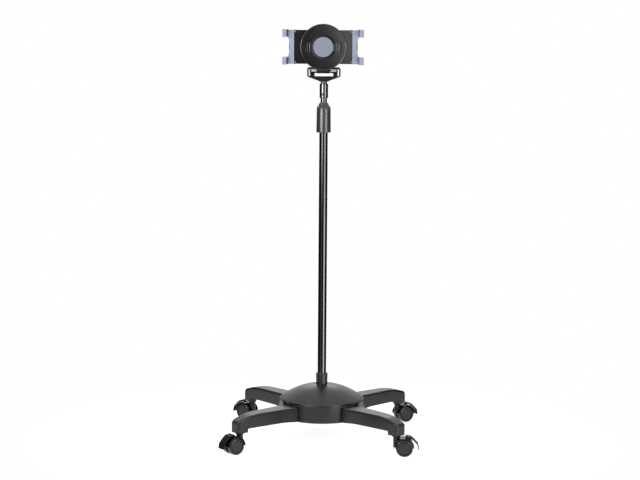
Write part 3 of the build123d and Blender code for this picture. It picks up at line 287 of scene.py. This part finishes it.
def turned(profile, point=(0, 0, 0), along=(0, 0, 1), steps=96):
    """A body of revolution: a profile spun round an axis through a point."""
    mesh = bmesh.new()
    start, axis, side = Vector(point), Vector(along).normalized(), Vector((1, 0, 0))
    corners = [mesh.verts.new((start + side * radius + axis * height) * mm) for radius, height in profile]
    pairs = list(zip(corners, corners[1:]))
    if profile[0][0] > 0 and profile[-1][0] > 0:
        pairs.append((corners[-1], corners[0]))
    edges = [mesh.edges.new(pair) for pair in pairs]
    bmesh.ops.spin(mesh, geom=corners + edges, cent=start * mm, axis=axis, dvec=(0, 0, 0),
                   angle=2 * pi, steps=steps, use_merge=True)
    bmesh.ops.remove_doubles(mesh, verts=mesh.verts, dist=same_place * mm)
    bmesh.ops.recalc_face_normals(mesh, faces=mesh.faces)
    return mesh


def copied(node):
    """A copy of a CAD node, its triangles joined to whole faces."""
    weld, flat_angle = 0.004, 1.5
    mesh = bmesh.new()
    mesh.from_mesh(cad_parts[node].data)
    bmesh.ops.remove_doubles(mesh, verts=mesh.verts, dist=weld * mm)
    bmesh.ops.dissolve_limit(mesh, angle_limit=radians(flat_angle), verts=mesh.verts, edges=mesh.edges,
                             delimit={"NORMAL"})
    return mesh


def placed(mesh, turn, spot=(0, 0, 0)):
    """Turn a mesh about the vertical by degrees and set it at a spot."""
    matrix = Matrix.Translation(Vector(spot) * mm) @ Matrix.Rotation(radians(turn), 4, "Z")
    bmesh.ops.transform(mesh, matrix=matrix, verts=mesh.verts)
    return mesh


def tube_profile(outer, inner, bottom, top):
    """A plain tube's profile."""
    return [(outer, bottom), (outer, top), (inner, top), (inner, bottom)]


def dress(finish, *nodes):
    """Give CAD nodes that keep their own shape a finish."""
    for node in nodes:
        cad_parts[node].data.materials.clear()
        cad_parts[node].data.materials.append(finish)


# Base

def dome_line(radius, drop=0.0):
    """Height of the dome's skin at a distance from the pole."""
    rise = dome_crown - dome_rim_top
    sphere = (dome_radius ** 2 + rise ** 2) / (2 * rise)
    return dome_crown - sphere + sqrt(sphere ** 2 - radius ** 2) - drop


# Dome: crowned skin, a rim that overhangs, and a skirt inside it
rings = [dome_hole + (dome_radius - dome_hole) * ring / dome_rings for ring in range(dome_rings + 1)]
dome_skirt = [(dome_radius, 119.6), (122.2, 119.2), (122.2, 116.2), (120.0, 116.2), (120.0, 118.0)]
dome_profile = [(radius, dome_line(radius)) for radius in rings] + dome_skirt
dome_profile += [(radius, dome_line(radius, dome_thickness)) for radius in reversed(rings[:-1])]
dome = soften(turned(dome_profile, steps=160), width=0.6, segments=3)
make_piece("dome_skin", dome, "base", dome_abs, ["dome_cover"])

# Hub: four stretches of wall between the legs, each with a rounded lip given as (inwards, down)
hub_lip = [(0.0, 3.0), (0.4, 1.5), (1.5, 0.4), (3.0, 0.0), (hub_wall_thickness, 0.0)]
hub_section = [(hub_radius, hub_bottom)]
hub_section += [(hub_radius - inwards, hub_top - down) for inwards, down in hub_lip]
hub_section += [(hub_radius - hub_wall_thickness, hub_bottom)]
hub_wall = bmesh.new()
for quarter in range(4):
    begin = radians(front_turn - hub_wall_span / 2 + 90 * quarter)
    corners = [hub_wall.verts.new((radius * cos(begin) * mm, radius * sin(begin) * mm, height * mm))
               for radius, height in hub_section]
    end_face = hub_wall.faces.new(corners)
    bmesh.ops.spin(hub_wall, geom=[end_face] + list(end_face.edges) + list(end_face.verts), cent=(0, 0, 0),
                   axis=(0, 0, 1), dvec=(0, 0, 0), angle=radians(hub_wall_span), steps=36, use_merge=False)
bmesh.ops.remove_doubles(hub_wall, verts=hub_wall.verts, dist=same_place * mm)
bmesh.ops.recalc_face_normals(hub_wall, faces=hub_wall.faces)
soften(hub_wall, width=1.6, limit=50, segments=3)
make_piece("hub_wall", hub_wall, "base", charcoal_abs, ["base_hub"])

# Core: the deck over the legs, its edge a shallow cone that closes most of the gap under the dome's rim
core_profile = [(hub_core_hole, leg_top), (122.9, leg_top), (121.0, 115.8), (118.6, 115.8), (118.6, 118.6),
                (116.6, 118.6), (116.6, 116.0), (hub_core_hole, 116.0)]
make_piece("hub_core", turned(core_profile, steps=128), "base", charcoal_abs)


def leg_mesh():
    """One leg along +X: side outline drawn out sideways, tapered, its top panel raised off a narrow ledge."""
    side = [(leg_start, hub_bottom), (hub_radius, hub_bottom), (leg_belly_start, leg_belly),
            (leg_block_start, leg_belly), (leg_block_start, leg_block_bottom), (leg_end, leg_block_bottom),
            (leg_end, leg_end_top - panel_lip), (leg_shoulder, leg_shoulder_top - panel_lip),
            (leg_knee, leg_top - panel_lip), (leg_start, leg_top - panel_lip)]
    mesh = bmesh.new()
    outline = mesh.faces.new([mesh.verts.new((x * mm, -leg_root_half * mm, z * mm)) for x, z in side])
    drawn = bmesh.ops.extrude_face_region(mesh, geom=[outline])
    bmesh.ops.translate(mesh, vec=(0, 2 * leg_root_half * mm, 0),
                        verts=[part for part in drawn["geom"] if isinstance(part, bmesh.types.BMVert)])
    past_hub = 0.1
    for vert in mesh.verts:
        along = vert.co.x / mm - hub_radius
        if along > past_hub:
            share = along / (leg_end - hub_radius)
            vert.co.y *= (leg_root_half + (leg_tip_half - leg_root_half) * share) / leg_root_half
    bmesh.ops.recalc_face_normals(mesh, faces=mesh.faces)

    def across(x, z):
        return [edge for edge in mesh.edges
                if all(abs(vert.co.x - x * mm) < same_place * mm and abs(vert.co.z - z * mm) < same_place * mm
                       for vert in edge.verts)]

    bends_above = across(leg_knee, leg_top - panel_lip) + across(leg_shoulder, leg_shoulder_top - panel_lip)
    bends_below = across(hub_radius, hub_bottom) + across(leg_belly_start, leg_belly)
    round_off(mesh, bends_above, width=14.0, segments=5)
    round_off(mesh, bends_below, width=18.0, segments=4)
    round_off(mesh, across(leg_block_start, leg_belly), width=3.0, segments=3)
    tall = 20.0
    upright = [edge for edge in mesh.edges
               if all(abs(vert.co.x - leg_end * mm) < same_place * mm for vert in edge.verts)
               and abs(edge.verts[0].co.z - edge.verts[1].co.z) > tall * mm]
    round_off(mesh, upright, width=12.0, segments=8)
    facing_up = 0.7
    tops = [face for face in mesh.faces if face.normal.z > facing_up]
    for thickness, depth in ((panel_ledge, 0.0), (panel_slope, panel_lip)):
        bmesh.ops.inset_region(mesh, faces=tops, thickness=thickness * mm, depth=depth * mm,
                               use_even_offset=True, use_boundary=True)
    panel = set(tops)
    rim = [edge for edge in mesh.edges if len(panel.intersection(edge.link_faces)) == 1]
    round_off(mesh, rim, width=5.2, segments=4)
    return soften(mesh, width=0.6, limit=35)


for corner, turn in leg_turns.items():
    make_piece(f"leg_arm_{corner}", placed(leg_mesh(), turn), "base", charcoal_abs,
               [f"leg_{corner}"])

collar_profile = [(12.75, 150.0), (17.25, 150.0), (17.25, 194.2), (15.6, 196.0), (12.75, 196.0)]
collar = soften(turned(collar_profile, steps=72), width=0.5, segments=3)
make_piece("collar_ring", collar, "base", collar_nylon, ["pole_collar"])

# Pole and twist grip

tube = soften(turned(tube_profile(outer=12.7, inner=11.1, bottom=76.0, top=960.0)), width=0.4)
make_piece("lower_tube", tube, "base", tube_enamel, ["lower_pole"])

# Grip: a sleeve that flares to its foot, a groove, a round shoulder and a nose, then back down the inside
grip_profile = [(17.8, 918.0), (20.0, 918.0), (21.2, 918.5), (21.6, 919.6), (20.75, 987.4), (20.3, 987.9),
                (20.3, 988.7), (20.65, 989.2), (20.2, 991.6), (19.3, 993.9), (18.1, 995.8), (16.7, 997.4),
                (16.0, 998.0), (15.0, 998.0), (15.1, 998.7), (14.4, 1001.6), (13.2, 1004.5), (12.7, 1005.2),
                (12.1, 1005.4), (9.825, 1005.4), (9.825, 1000.3), (11.7, 1000.3), (14.3, 980.0),
                (14.3, 975.5), (17.8, 975.5)]
grip = soften(turned(grip_profile), width=0.25, limit=40)
make_piece("grip_body", grip, "twist_grip", grip_nylon, ["grip_sleeve"])

mast = turned(tube_profile(outer=9.525, inner=8.325, bottom=300.0, top=1040.0), steps=72)
make_piece("upper_tube", mast, "upper_mast", black_lacquer, ["upper_pole"])
make_piece("socket_body", soften(copied("head_socket"), width=0.3), "upper_mast", black_lacquer,
           ["head_socket"])

# Casters

# Wheel: bore, rounded tread, an outer rim with a groove inside it, and a low boss in the middle
wheel_profile = [(0, 19.3), (wheel_bore, 19.3), (wheel_bore, wheel_inner_face), (22.5, wheel_inner_face),
                 (23.5, 5.0), (24.3, 5.5), (24.8, 6.3), (wheel_radius, 7.3), (wheel_radius, 17.8),
                 (24.7, 19.3), (23.8, 20.6), (22.5, 21.5), (21.0, wheel_outer_face),
                 (20.0, wheel_outer_face), (19.5, 21.3), (19.4, 18.6), (18.0, 18.6), (17.9, 20.0),
                 (17.3, 20.5), (6.9, 20.5), (6.5, 20.9), (5.9, 21.1), (0, 21.2)]
# Swivel cap: a black cup round the stem and its flange, between the hood and the leg's tip
cap_profile = [(5.8, 56.0), (11.6, 56.0), (12.7, 57.0), (13.0, 58.4), (13.0, 61.9), (7.8, 61.9), (7.8, 60.2),
               (5.8, 60.2)]
for corner, turn in caster_turns.items():
    angle = radians(leg_turns[corner])
    spot = (caster_circle * cos(angle), caster_circle * sin(angle), 0)
    for letter, side in (("a", 1), ("b", -1)):
        wheel = turned(wheel_profile, point=(caster_trail, 0, wheel_radius), along=(0, side, 0), steps=72)
        make_piece(f"wheel_{letter}_disc_{corner}", placed(wheel, turn, spot),
                   f"wheel_{letter}_{corner}_body", wheel_nylon,
                   [f"wheel_{letter}_{corner}"])
    make_piece(f"hood_shell_{corner}", soften(copied(f"caster_hood_{corner}"), width=0.5), f"caster_{corner}",
               hood_nylon, [f"caster_hood_{corner}"])
    make_piece(f"brake_pedal_{corner}", soften(copied(f"brake_lever_{corner}"), width=0.5), f"brake_{corner}",
               brake_nylon, [f"brake_lever_{corner}"])
    dress(zinc_plate, f"caster_axle_{corner}")
    cap = soften(turned(cap_profile, steps=48), width=0.3, limit=40)
    make_piece(f"swivel_cap_{corner}", placed(cap, 0, spot), "base", hood_nylon)
dress(hood_nylon, "caster_stems")

# Head

# Yoke: each ear grows a little thicker on both sides, from the CAD's face to a fuller one
ear_faces = ((37.5, 36.7), (40.0, 40.4))
yoke = copied("head_yoke")
for vert in yoke.verts:
    for ear_face, fuller in ear_faces:
        if abs(abs(vert.co.x) - ear_face * mm) < on_face * mm:
            vert.co.x = fuller * mm if vert.co.x > 0 else -fuller * mm
soften(yoke, width=0.35)
for face in yoke.faces:
    if face.calc_center_median().z < neck_top * mm:
        face.material_index = 1
make_piece("yoke_frame", yoke, "yoke", [yoke_nylon, black_lacquer], ["head_yoke"])

make_piece("bracket_arm", soften(copied("tilt_bracket"), width=0.4), "bracket", yoke_nylon,
           ["tilt_bracket"])
make_piece("housing_shell", soften(copied("rear_housing"), width=0.4), "holder", head_abs,
           ["rear_housing"])

# Front disc: a rounded rim, a seat for the pad, and an arc pocket on each side of it
disc_profile = [(0, disc_back), (66.6, disc_back), (67.4, 55.6), (67.4, 60.6), (67.2, 61.8), (66.8, 62.3),
                (65.6, 62.9), (65.0, disc_front), (pocket_outer, disc_front), (pocket_inner, disc_front),
                (30.9, disc_front), (30.3, 62.7), (30.3, disc_floor), (0, disc_floor)]
disc = turned(disc_profile, point=(0, 0, holder_z), along=(0, -1, 0), steps=160)
pocket_steps = ((1.0, 0.3), (0.5, 0.7))
for side in (-1, 1):
    pocket = []
    for face in disc.faces:
        spot = face.calc_center_median() / mm - Vector((0, -disc_front, holder_z))
        away = spot.xz.length
        if (abs(spot.y) < on_face and pocket_inner < away < pocket_outer
                and side * spot.x > cos(radians(pocket_reach)) * away):
            pocket.append(face)
    for thickness, sink in pocket_steps:
        bmesh.ops.inset_region(disc, faces=pocket, thickness=thickness * mm, depth=-sink * mm,
                               use_boundary=True, use_even_offset=True)
make_piece("disc_face", disc, "holder", head_abs, ["front_disc"])

pad_profile = [(0, disc_floor), (29.2, disc_floor), (29.2, 64.1), (28.9, 64.7), (28.4, 64.9), (0, 64.9)]
pad = turned(pad_profile, point=(0, 0, holder_z), along=(0, -1, 0), steps=120)
make_piece("round_pad", pad, "holder", pad_silicone, ["centre_pad"])

for side in ("left", "right"):
    make_piece(f"{side}_plate", soften(copied(f"{side}_slide"), width=0.3), f"{side}_side", head_abs,
               [f"{side}_slide"])
    make_piece(f"{side}_jaw_bar", soften(copied(f"{side}_jaw"), width=0.25, limit=50), f"{side}_side",
               jaw_abs, [f"{side}_jaw"])
    dress(pad_silicone, f"{side}_jaw_pads")
    dress(zinc_plate, f"{side}_jaw_screws")

dress(spacer_steel, "tilt_axle")
dress(zinc_plate, "pan_screw", "rotation_screw", "housing_screws", "leg_bolts", "pole_bolt")
dress(mill_steel, "base_plate", "pole_foot")
dress(bush_acetal, "guide_bush", "clamp_collet", "friction_washer", "pinion")
dress(head_abs, "lock_body", "rotation_hub")
dress(hood_nylon, "snap_button")


# Studio, in metres; its turns are counted from the camera, which stands a little round to the right

view_turn = 2.5


def staged(name, mesh, finish):
    """A piece of the studio, which isn't part of the object."""
    data = bpy.data.meshes.new(name)
    mesh.to_mesh(data)
    mesh.free()
    data.materials.append(finish)
    set_piece = bpy.data.objects.new(name, data)
    bpy.context.scene.collection.objects.link(set_piece)
    return set_piece


def background_share(owner):
    """1 for rays that see the background, straight, mirrored or through glass; 0 for light on the object."""
    path = add_node(owner, "ShaderNodeLightPath")
    mirrored = add_node(owner, "ShaderNodeMath",
                        {0: path.outputs["Is Camera Ray"], 1: path.outputs["Is Glossy Ray"]},
                        operation="MAXIMUM")
    seen = add_node(owner, "ShaderNodeMath",
                    {0: mirrored.outputs[0], 1: path.outputs["Is Transmission Ray"]}, operation="MAXIMUM")
    return seen.outputs[0]


# Floor: a small pale sweep that keeps a faint shadow; what the camera sees of it is lifted to white
sweep_radius = 0.9
floor_paper = new_finish("white_sweep_paper")
paper = add_node(floor_paper, "ShaderNodeBsdfDiffuse", {"Color": ink("dcdcdc")})
glow = add_node(floor_paper, "ShaderNodeEmission", {"Color": ink("ffffff"), "Strength": 0.8})
dark = add_node(floor_paper, "ShaderNodeEmission", {"Color": ink("000000"), "Strength": 0.0})
lift = add_node(floor_paper, "ShaderNodeMixShader", {0: background_share(floor_paper), 1: dark.outputs[0],
                                                     2: glow.outputs[0]})
both = add_node(floor_paper, "ShaderNodeAddShader", {0: paper.outputs[0], 1: lift.outputs[0]})
add_node(floor_paper, "ShaderNodeOutputMaterial", {"Surface": both.outputs[0]})
sweep = bmesh.new()
bmesh.ops.create_circle(sweep, cap_ends=True, radius=sweep_radius, segments=128)
staged("floor", sweep, floor_paper)

# Black cards that keep the edges and the middle of the round metal parts dark in their reflections
card_distance = 2.8
card_bottom = -0.9
card_black = new_finish("black_card")
matt = add_node(card_black, "ShaderNodeBsdfDiffuse", {"Color": ink("050505")})
add_node(card_black, "ShaderNodeOutputMaterial", {"Surface": matt.outputs[0]})


def black_card(name, begin, end, top):
    """A curved upright card between two turns, seen only in reflections."""
    mesh = bmesh.new()
    angle = radians(begin + view_turn + front_turn)
    foot = Vector((cos(angle), sin(angle), 0)) * card_distance
    ends = [mesh.verts.new(foot + Vector((0, 0, height))) for height in (card_bottom, top)]
    edge = mesh.edges.new(ends)
    bmesh.ops.spin(mesh, geom=ends + [edge], cent=(0, 0, 0), axis=(0, 0, 1), dvec=(0, 0, 0),
                   angle=radians(end - begin), steps=24)
    card = staged(name, mesh, card_black)
    card.visible_camera = card.visible_diffuse = card.visible_shadow = False


# Each card's first and last turn and its top
for name, begin, end, top in (
        ("card_front", -18, 22, 1.6),
        ("card_right", 59, 146, 1.6),
        ("card_left", -146, -54, 1.6),
        ("card_left_low", -54, -18, 0.5),
        ("card_back_right", 146, 166, 0.6),
        ("card_back_left", -166, -146, 0.6)):
    black_card(name, begin, end, top)

# Light on the object is a plain grey, and what it mirrors is white
world = bpy.data.worlds.new("studio")
bpy.context.scene.world = world
world.use_nodes = True
world.node_tree.nodes.clear()
sky = add_node(world, "ShaderNodeMix",
               {"Factor": background_share(world), 6: ink("8c8c8e"), 7: ink("ffffff")}, data_type="RGBA")
backdrop = add_node(world, "ShaderNodeBackground", {"Color": sky.outputs[2], "Strength": 1.0})
add_node(world, "ShaderNodeOutputWorld", {"Surface": backdrop.outputs[0]})


def softbox(name, turn, distance, bottom, top, width, radiance):
    """An upright softbox that faces the pole; its power comes from how bright its face is."""
    lamp = bpy.data.lights.new(name, "AREA")
    lamp.shape = "RECTANGLE"
    lamp.size, lamp.size_y = width, top - bottom
    lamp.energy = radiance * pi * width * (top - bottom)
    box = bpy.data.objects.new(name, lamp)
    bpy.context.scene.collection.objects.link(box)
    angle = radians(turn + view_turn + front_turn)
    centre = Vector((cos(angle) * distance, sin(angle) * distance, (bottom + top) / 2))
    box.location = centre
    box.rotation_euler = (Vector((0, 0, centre.z)) - centre).to_track_quat("-Z", "Y").to_euler()
    box.visible_camera = False


# Each softbox's turn, distance, lowest and highest edge, width and brightness
for name, turn, distance, bottom, top, width, radiance in (
        ("key_right_high", 42, 2.1, 0.92, 1.5, 1.2, 5.4),
        ("key_right_middle", 42, 2.1, 0.45, 0.92, 1.2, 3.5),
        ("key_right_low", 42, 2.1, -0.6, 0.45, 1.2, 5.0),
        ("fill_left_high", -35, 2.1, 0.905, 1.45, 1.15, 16.0),
        ("fill_left_middle", -35, 2.1, 0.65, 0.905, 1.15, 3.4),
        ("fill_left_fade", -35, 2.1, 0.53, 0.65, 1.15, 0.9),
        ("fill_left_low", -35, 2.1, -0.5, 0.53, 1.15, 0.35),
        ("back_soft", 180, 2.4, 1.2, 1.7, 1.0, 2.5),
        ("head_glow", 3.1, 2.1, 1.03, 1.4, 0.5, 1.5)):
    softbox(name, turn, distance, bottom, top, width, radiance)

top_size = 2.4
top_height = 2.9
top_radiance = 0.35
top_lamp = bpy.data.lights.new("top_light", "AREA")
top_lamp.shape = "SQUARE"
top_lamp.size = top_size
top_lamp.energy = top_radiance * pi * top_size * top_size
top_box = bpy.data.objects.new("top_light", top_lamp)
bpy.context.scene.collection.objects.link(top_box)
top_box.location = (0, 0, top_height)
top_box.visible_camera = False

# Camera, at the photograph's viewing angle

camera_distance = 5.7
camera_height = 1.3116
camera_dip = 7.144
camera_swing = 0.083
camera_roll = 0.40
focal_pixels = 1930.0
picture_width = 640.0
lens = bpy.data.cameras.new("photo_view")
lens.sensor_width = 36.0
lens.lens = focal_pixels * lens.sensor_width / picture_width
lens.clip_start, lens.clip_end = 0.1, 50.0
camera = bpy.data.objects.new("photo_view", lens)
bpy.context.scene.collection.objects.link(camera)
swing = radians(view_turn)
camera.location = (camera_distance * sin(swing), -camera_distance * cos(swing), camera_height)
aim_turn = swing + radians(camera_swing)
aim = Vector((-sin(aim_turn) * cos(radians(camera_dip)), cos(aim_turn) * cos(radians(camera_dip)),
              -sin(radians(camera_dip))))
facing = aim.to_track_quat("-Z", "Y").to_matrix() @ Matrix.Rotation(radians(camera_roll), 3, "Z")
camera.rotation_euler = facing.to_euler()
bpy.context.scene.camera = camera
bpy.context.scene.view_settings.view_transform = "Standard"
